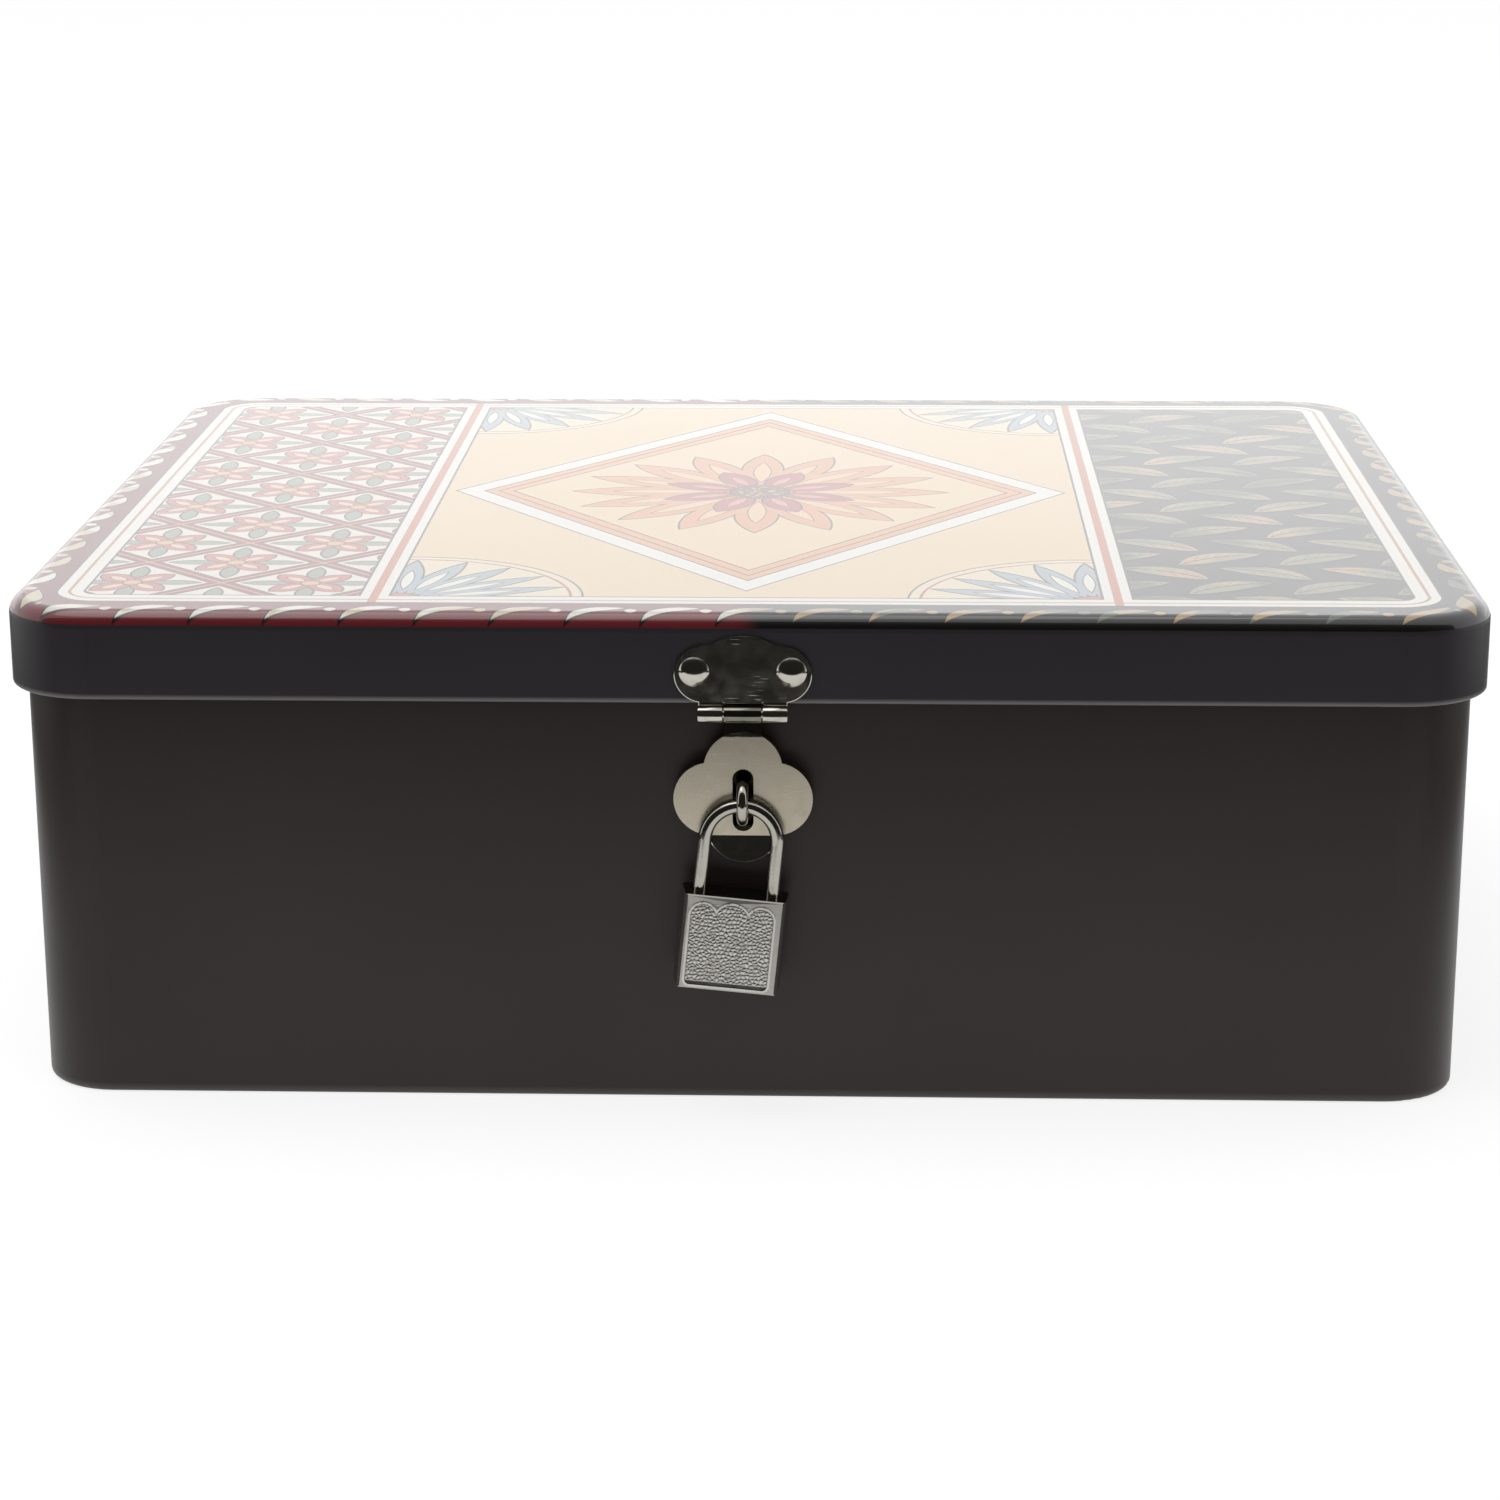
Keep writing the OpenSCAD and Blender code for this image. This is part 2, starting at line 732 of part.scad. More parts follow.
// Outline of the panel on the front, drawn in by inset: round lower corners, three scallops above
module panel_outline(inset) {
    top = case_top - panel_top_margin;
    side_z = top - panel_side_drop - panel_side_r;
    r = panel_corner_r - inset;
    translate([panel_x, 0]) {
        translate([0, top - panel_mid_r]) circle(panel_mid_r - inset);
        for (s = [-1, 1]) {
            translate([s * panel_side_x, side_z]) circle(panel_side_r - inset);
            translate([s * panel_corner_x, panel_corner_z]) circle(r);
        }
        translate([-panel_half_w + inset, panel_corner_z])
            square([2 * (panel_half_w - inset), side_z - panel_corner_z]);
        translate([-panel_corner_x, panel_corner_z - r]) square([2 * panel_corner_x, r]);
    }
}

module padlock_case_front() {
    color(zinc) hanging() {
        case_half(-1);
        upright(case_t / 2 + panel_line_h, panel_line_h + weld) difference() {
            panel_outline(0);
            panel_outline(panel_line_w);
        }
    }
}

module padlock_case_back() {
    color(zinc) hanging() case_half(1);
}

module padlock_plug() {
    color(nickel) hanging() translate([plug_x, 0, 0]) {
        difference() {
            translate([0, 0, case_bottom]) cylinder(r = plug_r, h = plug_top - case_bottom);
            translate([-keyway_w / 2, -keyway_l / 2, case_bottom - past])
                cube([keyway_w, keyway_l, keyway_depth + past]);
        }
        translate([crank_r * cos(crank_angle), crank_r * sin(crank_angle), plug_top - weld])
            cylinder(r = crank_pin_r, h = crank_top - plug_top + weld);
    }
}

module padlock_latch() {
    tail_t = latch_tail_r - latch_tail_l;
    color(nickel) hanging() {
        translate([latch_tail_l, -latch_half_w, latch_top - latch_t])
            cube([latch_tip_x - latch_tail_l, 2 * latch_half_w, latch_t]);
        translate([latch_tail_l, latch_tail_y0, latch_tail_bottom])
            cube([tail_t, latch_tail_y1 - latch_tail_y0, latch_top - latch_tail_bottom]);
        translate([latch_tail_l, -latch_half_w, latch_spring_z - post_half_h])
            cube([tail_t, latch_half_w + latch_tail_y1, latch_top - latch_spring_z + post_half_h]);
    }
}

// A round wire wound into a coil round +Z, from z = 0 to z = height
module coil(coil_r, wire_r, height, turns) {
    steps = coil_steps * turns;
    sides = coil_sides;
    rise = height - 2 * wire_r;
    points = [
        for (i = [0:steps], k = [0:sides - 1])
            let (a = 360 * turns * i / steps, b = 360 * k / sides)
                [
                    (coil_r + wire_r * cos(b)) * cos(a),
                    (coil_r + wire_r * cos(b)) * sin(a),
                    wire_r + rise * i / steps + wire_r * sin(b)
                ]
    ];
    walls = [
        for (i = [0:steps - 1], k = [0:sides - 1])
            let (p = i * sides + k, q = i * sides + (k + 1) % sides)
                each [[p, q, q + sides], [p, q + sides, p + sides]]
    ];
    low_end = [for (k = [1:sides - 2]) [0, k + 1, k]];
    high_end = [for (k = [1:sides - 2]) [steps * sides, steps * sides + k, steps * sides + k + 1]];
    polyhedron(points, concat(low_end, walls, high_end));
}

module latch_spring() {
    color(spring_steel) hanging() translate([post_x1, 0, latch_spring_z]) rotate([0, 90, 0])
        coil(latch_spring_r, spring_wire_r, latch_tail_l - post_x1, latch_spring_turns);
}

module heel_spring() {
    floor_z = case_bottom + case_top_wall;
    color(spring_steel) hanging() translate([-leg_x, 0, floor_z])
        coil(heel_spring_r, heel_wire_r, heel_bottom - floor_z, heel_spring_turns);
}

module retaining_pin() {
    color(spring_steel) hanging() bar_y(retain_x, retain_z, retain_r, -retain_half_l, retain_half_l);
}

module case_rivet(p) {
    color(zinc) hanging() bar_y(p[0], p[1], case_rivet_r, -case_t / 2 + case_rivet_tip, case_t / 2);
}

base_wall();
base_bottom();
staple_plate();
staple();
staple_rivet_left();
staple_rivet_right();
lid_shell();
hasp_plate();
hasp_rivet_left();
hasp_rivet_right();
hasp_pin();
hasp_flap();
for (side = [["left", -1], ["right", 1]]) {
    x = side[1] * hinge_x;
    name = str("hinge_", side[0]);
    hinge_lid_leaf(x);
    hinge_base_leaf(x);
    hinge_rear_pin(x);
    for (place = [["outer", -side[1]], ["inner", side[1]]]) {
        hinge_rivet(x, place[1], upper_rivet_z, skirt_y, plate_t);
        hinge_rivet(x, place[1], lower_rivet_z, wall_y, leaf_t);
    }
}
shackle();
padlock_case_front();
padlock_case_back();
padlock_plug();
padlock_latch();
latch_spring();
heel_spring();
retaining_pin();
case_rivet(case_rivet_left);  // padlock_rivet_left
case_rivet(case_rivet_right);  // padlock_rivet_right
case_rivet(case_rivet_upper);  // padlock_rivet_upper
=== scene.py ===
import json
import math
import random

import bmesh
import bpy
import numpy as np
from mathutils import Matrix, Vector


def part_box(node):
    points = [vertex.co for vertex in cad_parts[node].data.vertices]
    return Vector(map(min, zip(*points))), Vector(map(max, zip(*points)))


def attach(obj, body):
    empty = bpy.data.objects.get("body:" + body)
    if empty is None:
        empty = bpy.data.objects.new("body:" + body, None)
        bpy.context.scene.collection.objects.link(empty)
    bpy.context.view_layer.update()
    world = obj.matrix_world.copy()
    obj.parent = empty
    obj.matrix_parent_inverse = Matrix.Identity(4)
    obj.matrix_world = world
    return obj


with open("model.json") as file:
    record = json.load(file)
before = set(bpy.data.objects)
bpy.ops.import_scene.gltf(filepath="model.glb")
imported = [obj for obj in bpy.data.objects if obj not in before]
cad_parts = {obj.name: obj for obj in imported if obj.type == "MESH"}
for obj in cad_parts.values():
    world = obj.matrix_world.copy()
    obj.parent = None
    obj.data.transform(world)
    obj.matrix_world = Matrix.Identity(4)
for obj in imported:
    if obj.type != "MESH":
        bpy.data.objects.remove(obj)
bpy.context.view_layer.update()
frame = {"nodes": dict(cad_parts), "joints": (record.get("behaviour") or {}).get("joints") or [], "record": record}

MM = 0.001

# The camera, from a fit to the box's outline in the photograph
CAMERA_PLACE = (0.0237783, -0.8125948, 0.2759261)
CAMERA_PITCH = -0.2797
CAMERA_YAW = 0.0321
CAMERA_ROLL = -0.0026
CAMERA_LENS = 87.307
CAMERA_SENSOR = 36.0

# Where the dark room begins in front of the box and beside it, as polished metal shows it, and
# how much its walls glow
DARK_ROOM_Y = -0.3
DARK_SIDE_X = 0.31
DARK_GLOW = 0.024

# How white the floor looks, how much of the light that falls on it comes back, and how much light
# comes from all round
FLOOR_GLOW = 0.78
FLOOR_GREY = 0.4
AMBIENT = 0.5

# How far the flap's neck reaches below its hinge pin; the neck carries painted shade
NECK_H = 4.7

# The lowest lobe of the plate behind the flap
LOW_LOBE_R = 7.5

# The lid: its corners seen from above, how far the print comes down over its rounded edge, the
# width of the printed rim, and where the panels to the left and right begin and have their middle
LID_CORNER_R = 19.0
PRINT_DROP = 2.6
LID_RIM_W = 9.5
PANEL_SPLIT_X = 75.0
SIDE_PANEL_X = 108.0

# The panel on the padlock's case: its raised line has three lobes at the top, and a gutter with painted
# shadow runs along its foot
PANEL_X = -0.3
PANEL_HALF_W = 8.8
PANEL_TOP_MARGIN = 1.0
PANEL_LOW_MARGIN = 0.5
PANEL_CORNER_R = 1.5
PANEL_SIDE_R = 3.0
PANEL_SIDE_X = 5.8
PANEL_SIDE_DROP = 0.25
PANEL_MID_R = 3.9
PANEL_LINE_W = 0.45
PANEL_GUTTER_H = 0.65

# The pebbles inside that panel, and the grid that they are raised on
PEBBLE_PITCH = 0.8
PEBBLE_HEIGHT = 0.2
PEBBLE_SEED = 7
PEBBLE_GRID = 0.1


def joint(name):
    """The record of a joint."""
    return next(j for j in frame["joints"] if j["name"] == name)


def tint(code):
    """Linear colour, with alpha, of a hex colour."""
    parts = [int(code[i:i + 2], 16) / 255 for i in (1, 3, 5)]
    return [c / 12.92 if c <= 0.04045 else ((c + 0.055) / 1.055) ** 2.4 for c in parts] + [1.0]


def feed(tree, place, value):
    """Links a field or a socket to an input, or sets that input to a constant."""
    if isinstance(value, Field):
        value = value.socket
    if isinstance(value, bpy.types.NodeSocket):
        tree.links.new(value, place)
    else:
        place.default_value = value


class Field:
    """A number that varies over a surface. Sums with it add math nodes to its material."""

    def __init__(self, tree, socket):
        self.tree = tree
        self.socket = socket

    def math(self, operation, *others, clamp=False):
        """The field that a math node makes of this one and the others."""
        node = self.tree.nodes.new("ShaderNodeMath")
        node.operation = operation
        node.use_clamp = clamp
        for place, value in zip(node.inputs, (self, *others)):
            feed(self.tree, place, value)
        return Field(self.tree, node.outputs[0])

    def __add__(self, other):
        return self.math("ADD", other)

    def __sub__(self, other):
        return self.math("SUBTRACT", other)

    def __mul__(self, other):
        return self.math("MULTIPLY", other)

    def __truediv__(self, other):
        return self.math("DIVIDE", other)

    def __abs__(self):
        return self.math("ABSOLUTE")

    def flipped(self):
        """One minus the field."""
        return self.math("MULTIPLY_ADD", -1.0, 1.0)

    def least(self, other):
        return self.math("MINIMUM", other)

    def most(self, other):
        return self.math("MAXIMUM", other)

    def above(self, limit):
        return self.math("GREATER_THAN", limit)

    def below(self, limit):
        return self.math("LESS_THAN", limit)

    def reach(self, other):
        """Distance from the origin, with this field and the other as x and y."""
        return (self * self + other * other).math("SQRT")

    def repeated(self, period):
        """The same, counted from the nearest whole number of periods."""
        return self - (self / period).math("ROUND") * period

    def cover(self, blur=0.2):
        """1 where this signed distance is negative, 0 where it is positive."""
        return self.math("MULTIPLY_ADD", -1.0 / blur, 0.5, clamp=True)

    def fade(self, low, high):
        """Rises from 0 at low to 1 at high."""
        return self.math("MULTIPLY_ADD", 1.0 / (high - low), -low / (high - low), clamp=True)


def leaf(p, q, half_length, half_width):
    """Signed distance to a leaf with two pointed ends, which lies along p."""
    r = (half_length ** 2 + half_width ** 2) / (2 * half_width)
    return p.reach(abs(q) + (r - half_width)) - r


def turned(p, q, degrees):
    """Coordinates along axes turned by that angle."""
    c, s = math.cos(math.radians(degrees)), math.sin(math.radians(degrees))
    return p * c + q * s, q * c - p * s


def sector(p, q, count):
    """Coordinates along and across the nearest of count spokes."""
    step = 2 * math.pi / count
    angle = q.math("ARCTAN2", p).repeated(step)
    r = p.reach(q)
    return r * angle.math("COSINE"), r * angle.math("SINE")


class Surface:
    """A node material with one Principled shader. Lengths in its patterns are millimetres."""

    def __init__(self, name, colour, **sockets):
        self.material = bpy.data.materials.new(name)
        self.material.use_nodes = True
        self.tree = self.material.node_tree
        self.shader = self.tree.nodes["Principled BSDF"]
        places = self.tree.nodes.new("ShaderNodeTexCoord")
        self.object_place = places.outputs["Object"]
        self.object_normal = places.outputs["Normal"]
        self.colour = tint(colour)
        for socket, value in sockets.items():
            self.shader.inputs[socket.replace("_", " ").title().replace("Ior", "IOR")].default_value = value

    def vector(self, operation, a, b):
        """The output of a vector math node."""
        node = self.tree.nodes.new("ShaderNodeVectorMath")
        node.operation = operation
        feed(self.tree, node.inputs[0], a)
        feed(self.tree, node.inputs[1], b)
        return node.outputs["Value" if operation == "DOT_PRODUCT" else "Vector"]

    def split(self, vector):
        """The x, y and z of a vector."""
        node = self.tree.nodes.new("ShaderNodeSeparateXYZ")
        self.tree.links.new(vector, node.inputs[0])
        return [Field(self.tree, out) for out in node.outputs]

    def place(self, centre=(0, 0, 0)):
        """x, y and z of the surface, counted from a centre given in metres."""
        moved = self.vector("SUBTRACT", self.object_place, centre)
        return self.split(self.vector("MULTIPLY", moved, (1 / MM,) * 3))

    def normal(self):
        """x, y and z of the surface's normal."""
        return self.split(self.object_normal)

    def facing(self, axis):
        """How squarely the surface faces along an axis: 1 for straight along it."""
        return Field(self.tree, self.vector("DOT_PRODUCT", self.object_normal, axis))

    def along(self, axis, origin):
        """Distance from an origin along an axis, both given in metres."""
        moved = self.vector("SUBTRACT", self.object_place, origin)
        return Field(self.tree, self.vector("DOT_PRODUCT", moved, axis)) / MM

    def noise(self, size, detail=2.0, rough=0.5, stretch=(1, 1, 1), seed=0.0):
        """Soft noise from 0 to 1 with patches about size wide, longer where stretch is above 1."""
        scale = [1 / (MM * size * s) for s in stretch]
        node = self.tree.nodes.new("ShaderNodeTexNoise")
        moved = self.vector("ADD", self.vector("MULTIPLY", self.object_place, scale), (seed,) * 3)
        self.tree.links.new(moved, node.inputs["Vector"])
        node.inputs["Scale"].default_value = 1.0
        node.inputs["Detail"].default_value = detail
        node.inputs["Roughness"].default_value = rough
        return Field(self.tree, node.outputs[0])

    def cells(self, size, seed=0.0):
        """Distance in cells from a scatter of points that are about size apart."""
        node = self.tree.nodes.new("ShaderNodeTexVoronoi")
        moved = self.vector("ADD", self.object_place, (seed,) * 3)
        self.tree.links.new(moved, node.inputs["Vector"])
        node.inputs["Scale"].default_value = 1 / (MM * size)
        return Field(self.tree, node.outputs["Distance"])

    def scratches(self, width, length, seed):
        """Thin streaks, mostly along X, in patches."""
        lines = self.noise(width, 1.0, 0.5, (length / width, 1.4, 1.0), seed).fade(0.66, 0.71)
        return lines * self.noise(9.0, 1.0, 0.5, seed=seed + 3).fade(0.5, 0.62)

    def mix(self, amount, a, b):
        """The colour a where amount is 0, and b where it is 1."""
        node = self.tree.nodes.new("ShaderNodeMix")
        node.data_type = "RGBA"
        feed(self.tree, node.inputs["Factor"], amount)
        feed(self.tree, node.inputs[6], a)
        feed(self.tree, node.inputs[7], b)
        return node.outputs[2]

    def paint(self, amount, colour):
        """Lays a colour over the surface where amount is 1."""
        self.colour = self.mix(amount, self.colour, tint(colour) if isinstance(colour, str) else colour)

    def drive(self, socket, value):
        """Feeds a field into one of the shader's inputs."""
        feed(self.tree, self.shader.inputs[socket], value)

    def bump(self, height):
        """Raises the surface by a height in millimetres."""
        node = self.tree.nodes.new("ShaderNodeBump")
        node.inputs["Distance"].default_value = MM
        feed(self.tree, node.inputs["Height"], height)
        self.tree.links.new(node.outputs[0], self.shader.inputs["Normal"])

    def done(self):
        """The finished material."""
        feed(self.tree, self.shader.inputs["Base Color"], self.colour)
        return self.material


def bare_tin(s, inside):
    """Plain tinplate inside the box, with the soft crystal pattern of the tin coat."""
    spangle = s.cells(7.0, seed=0.3)
    s.paint(inside, s.mix(spangle, tint("#a9a7a2"), tint("#c3c2bf")))
    s.drive("Metallic", inside)
    return spangle


def enamel():
    """Satin brown-black enamel outside, with a painted reflection that makes it paler round the foot, and bare tin
    inside.
    """
    s = Surface("enamel_brown_black", "#2c221f", roughness=0.4, specular_ior_level=0.4)
    x, y, z = s.place()
    nx, ny, nz = s.normal()
    inward = (x * nx + y * ny).below(-0.5)
    inside = inward.most(nz.above(0.5) * z.below(9.0))
    cloud = s.noise(60.0, 3.0, 0.55)
    s.paint(cloud.fade(0.35, 0.75) * 0.5, "#322825")
    # Painted reflection of the floor: the enamel is painted paler towards the foot.
    s.paint(z.fade(2.0, 0.4) * 0.6, "#86807c")
    s.paint(s.noise(0.8, 1.0, 0.5, seed=4.0).fade(0.79, 0.83) * 0.35, "#4a4643")
    spangle = bare_tin(s, inside)
    painted = s.noise(35.0, 3.0, 0.6, seed=2.0) * 0.1 + 0.34
    bare = spangle * 0.12 + 0.3
    s.drive("Roughness", painted + (bare - painted) * inside)
    s.bump(s.noise(1.6, 2.0, 0.5, seed=1.0) * 0.004 + s.noise(28.0, 1.0, 0.5) * 0.03)
    return s.done()


def outlined(s, distance, fill, line="#3b2620", width=0.45):
    """A filled shape with a thin outline."""
    s.paint((distance - width).cover(), line)
    s.paint(distance.cover(), fill)


def flowered_panel(s, x, y):
    """Left panel: a lattice of red bands with a four-petalled flower at every crossing."""
    pitch = 26.0
    a, b = turned(x + SIDE_PANEL_X, y, 45)
    a, b = a.repeated(pitch), b.repeated(pitch)
    lattice = abs(abs(a) - pitch / 2).least(abs(abs(b) - pitch / 2))
    outlined(s, lattice - 1.5, "#8c1f2c")
    s.paint((lattice - 0.25).cover(), "#d9a680")
    p, q = sector(*turned(a, b, 45), 4)
    outlined(s, leaf(p - 8.6, q, 5.2, 1.6), "#8f9a84")
    p, q = sector(a, b, 4)
    outlined(s, leaf(p - 5.2, q, 4.9, 2.8), "#c8605a")
    outlined(s, leaf(p - 4.8, q, 2.8, 1.1), "#f0cdb0", width=0.25)
    outlined(s, a.reach(b) - 1.8, "#e3b271")


def leafy_panel(s, x, y):
    """Right panel: rows of overlapping leaves, leaning left and right by turns."""
    row_h = 13.0
    pitch = 21.0
    parity = (y / row_h).math("ROUND").math("PINGPONG", 1.0)
    u = (x - SIDE_PANEL_X + parity * (pitch / 2)).repeated(pitch)
    v = y.repeated(row_h)
    tilt = math.radians(30)
    lean = (parity * 2.0 - 1.0) * math.sin(tilt)
    p = u * math.cos(tilt) + v * lean
    q = v * math.cos(tilt) - u * lean
    tone = s.noise(21.0, 2.0, 0.5, seed=6.0)
    fill = s.mix(tone.fade(0.42, 0.5), tint("#5b5c45"), tint("#8f8a6e"))
    fill = s.mix(tone.fade(0.54, 0.62), fill, tint("#bb9a72"))
    bent = q + p * p * 0.02
    outlined(s, leaf(p, bent, 10.4, 3.6), fill, "#12110f", 0.7)
    s.paint((abs(bent) - 0.22).most(abs(p) - 8.8).cover(), "#23211a")
    vein = abs((p - abs(bent) * 1.3).repeated(2.8)) - 0.16
    s.paint(vein.most(leaf(p, bent, 9.4, 2.9)).cover() * 0.6, "#2c2a20")


def rosette_panel(s, x, y):
    """Middle panel: a lozenge with one many-petalled flower, and a fan in each corner."""
    cx, cy = (abs(x) - 70.0) * -1.0, (abs(y) - 105.0) * -1.0
    p, q = sector(cx, cy, 20)
    r = cx.reach(cy)
    outlined(s, r - 37.0, "#f1e0bd")
    outlined(s, leaf(p - 18.5, q, 15.0, 2.6), "#9fb0bb")
    outlined(s, leaf(p - 16.5, q, 8.0, 1.1), "#f4efe2", width=0.25)
    s.paint((abs(r - 34.8) - 0.3).cover(), "#b5513c")
    outlined(s, r - 4.5, "#c9744a")
    lozenge = (abs(x) / 66.0 + abs(y) / 92.0 - 1.0) * 53.0
    outlined(s, lozenge - 2.6, "#f4f1ea")
    outlined(s, lozenge + 2.6, "#e8a66e")
    s.paint((abs(lozenge + 5.0) - 0.25).cover(), "#7c3a26")
    outlined(s, lozenge + 8.0, "#f0d0a2")
    p, q = sector(x, y, 16)
    outlined(s, leaf(p - 25.0, q, 17.5, 4.7), "#e39a5d")
    outlined(s, leaf(p - 22.0, q, 11.0, 1.9), "#f2c48f", width=0.25)
    p, q = sector(*turned(x, y, 22.5), 8)
    outlined(s, leaf(p - 14.0, q, 9.0, 3.6), "#b23a3c")
    outlined(s, leaf(p - 12.5, q, 5.0, 1.2), "#de8f7d", width=0.2)
    r = x.reach(y)
    outlined(s, r - 6.6, "#6c4630")
    seeds = s.cells(1.5, seed=0.11).below(0.34)
    s.paint(seeds * (r - 5.6).cover(), "#e3b271")


def running_leaves(s, x, y, edge, half_w, half_d):
    """Rim of the lid: deep red to the left and near black to the right, with a row of curled leaves."""
    rim = (edge - LID_RIM_W).cover()
    drift = s.noise(16.0, 2.0, 0.5, seed=9.0) * 30.0 - 15.0
    side = (x + drift).fade(-4.0, 4.0)
    ground = s.mix(side, tint("#74131f"), tint("#100e0d"))
    long_side = (abs(y) - half_d - abs(x) + half_w).above(0.0)
    run = y + (x - y) * long_side
    pitch = 15.0
    u = run.repeated(pitch)
    v = edge - LID_RIM_W / 2
    p, q = turned(u, v, 24)
    tone = s.noise(12.0, 1.0, 0.5, seed=12.0)
    light = s.mix(tone.fade(0.46, 0.5), tint("#d9c6a8"), tint("#f1ece0"))
    dark = s.mix(tone.fade(0.46, 0.5), tint("#5f6a58"), tint("#b79a72"))
    fill = s.mix(side, light, dark)
    s.paint(rim, ground)
    curl = leaf(p, q + p * p * 0.04, 6.2, 1.5)
    s.paint((curl - 0.4).cover() * rim, "#120d0c")
    s.paint(curl.cover() * rim, fill)
    bud = (u - pitch / 2).repeated(pitch).reach(v + 0.8) - 1.2
    s.paint(bud.cover() * rim, fill)


def printed_lid():
    """Lid: glossy printed top, satin dark skirt with a painted highlight along its hem, bare tin inside."""
    s = Surface("printed_lid", "#f0d3a6", roughness=0.3, specular_ior_level=0.34, coat_roughness=0.06)
    low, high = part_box("lid_shell")
    centre = (low + high) / 2
    centre.z = 0
    x, y, z = s.place(centre)
    nx, ny, nz = s.normal()
    half_w, half_d = (high.x - low.x) / 2 / MM, (high.y - low.y) / 2 / MM
    qx, qy = abs(x) - (half_w - LID_CORNER_R), abs(y) - (half_d - LID_CORNER_R)
    edge = (qx.most(0.0).reach(qy.most(0.0)) + qx.most(qy).least(0.0)) * -1.0 + LID_CORNER_R

    rosette_panel(s, x, y)
    middle = s.colour
    s.colour = tint("#f1e8dc")
    flowered_panel(s, x, y)
    left = s.colour
    s.colour = tint("#171611")
    leafy_panel(s, x, y)
    s.colour = s.mix(x.above(0.0), left, s.colour)
    s.colour = s.mix(abs(x).below(PANEL_SPLIT_X), s.colour, middle)
    from_split = abs(abs(x) - PANEL_SPLIT_X)
    band = (from_split - 2.8).least(edge - LID_RIM_W - 5.6)
    outlined(s, band, "#f4f1ea", width=0.5)
    s.paint((from_split - 0.9).cover(), "#c9744a")
    s.paint((abs(edge - LID_RIM_W - 2.8) - 0.35).cover(), "#b9824f")
    s.paint((edge - LID_RIM_W - 0.5).cover(), "#3b2620")
    running_leaves(s, x, y, edge, half_w, half_d)

    grain = s.noise(0.5, 2.0, 0.6, seed=5.0)
    s.paint(grain.fade(0.55, 0.75) * 0.1, "#2a201c")
    printed = z.above(high.z / MM - PRINT_DROP)
    skirt = s.mix(s.noise(45.0, 2.0, 0.5, seed=8.0), tint("#302c30"), tint("#383438"))
    # Painted highlight: the hem is painted paler, as a reflection of the floor.
    skirt = s.mix(z.fade(low.z / MM + 1.2, low.z / MM + 0.4) * 0.7, skirt, tint("#a5a1a1"))
    s.colour = s.mix(printed, skirt, s.colour)
    inside = (x * nx + y * ny).below(-0.5).most(nz.below(-0.5) * z.above(high.z / MM - 5.0))
    spangle = bare_tin(s, inside)
    shiny = printed * inside.flipped()
    s.drive("Coat Weight", shiny)
    painted = s.noise(30.0, 3.0, 0.6, seed=2.5) * 0.08 + 0.36
    s.drive("Roughness", painted + (spangle * 0.12 + 0.3 - painted) * inside)
    s.bump(s.noise(1.4, 2.0, 0.5, seed=1.0) * 0.003 + s.noise(30.0, 1.0, 0.5) * 0.03)
    return s.done()


def nickel(name, colour, rough, wear=1.0, seed=0.0):
    """Nickel plate: smudges, fine scratches and a slightly wavy surface."""
    s = Surface(name, colour, metallic=1.0)
    smudge = s.noise(3.4, 4.0, 0.62, seed=seed)
    lines = s.scratches(0.14, 6.0, seed + 5.0)
    s.paint(smudge.fade(0.5, 0.72) * 0.35 * wear, "#77736a")
    s.paint(lines * 0.5, "#d9d7d2")
    s.drive("Roughness", smudge.fade(0.35, 0.8) * 0.12 * wear + lines * 0.15 + rough)
    wave = s.noise(5.0, 1.0, 0.5, seed=seed + 2.0) * 0.012
    s.bump(wave * wear - lines * 0.003 + s.noise(0.35, 1.0, 0.5, seed=seed) * 0.0006)
    return s.done()


def flap_plate():
    """Flap: satin on its flat face, polished on its edges, and painted shade darkening its neck up to the hinge.
    """
    s = Surface("nickel_satin", "#bfb7a5", metallic=1.0)
    hinge_z = joint("flap_hinge")["pos_m"][2] / MM
    # Mask of the neck up to the hinge, which gets painted shade.
    neck_shade = s.place()[2].fade(hinge_z - NECK_H - 0.2, hinge_z - NECK_H)
    flat = s.facing((0, -1, 0)).fade(0.97, 0.99) * neck_shade.flipped()
    smudge = s.noise(3.4, 4.0, 0.62, seed=4.0)
    lines = s.scratches(0.14, 6.0, 9.0)
    s.paint(smudge.fade(0.5, 0.72) * 0.18, "#8a867a")
    s.paint(lines * 0.4, "#d9d7d2")
    s.paint(flat.flipped(), "#c6c2b8")
    # Painted shade on the neck.
    s.paint(neck_shade, s.mix(smudge.fade(0.4, 0.7), tint("#6c6a62"), tint("#807e74")))
    s.drive("Roughness", flat * (smudge * 0.08 + lines * 0.1 + 0.14) + 0.1)
    s.bump(s.noise(5.0, 1.0, 0.5, seed=6.0) * 0.006 - lines * 0.003)
    return s.done()


def tarnish_and_painted_dark_plate():
    """Polished plate behind the flap, dark partly from tarnish and partly as a painted dark reflection, with a
    painted highlight along its lower rim.
    """
    # Its dark colour is partly tarnish and partly a painted dark reflection.
    s = Surface("plate_tarnish_and_painted_dark", "#1d1c18", metallic=1.0)
    low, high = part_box("staple_plate")
    centre = ((low.x + high.x) / 2, low.y, low.z + LOW_LOBE_R * MM)
    x, y, z = s.place(centre)
    smudge = s.noise(3.0, 3.0, 0.6, seed=2.0)
    s.paint(smudge.fade(0.45, 0.75) * 0.5, "#302c26")
    # Painted highlight along the rounded lower rim.
    rim = x.reach(z).fade(LOW_LOBE_R - 0.35, LOW_LOBE_R - 0.2) * z.below(0.0)
    s.paint(rim, "#c4c0b6")
    s.drive("Roughness", smudge * 0.1 + 0.14)
    s.bump(s.noise(5.0, 1.0, 0.5) * 0.01)
    return s.done()


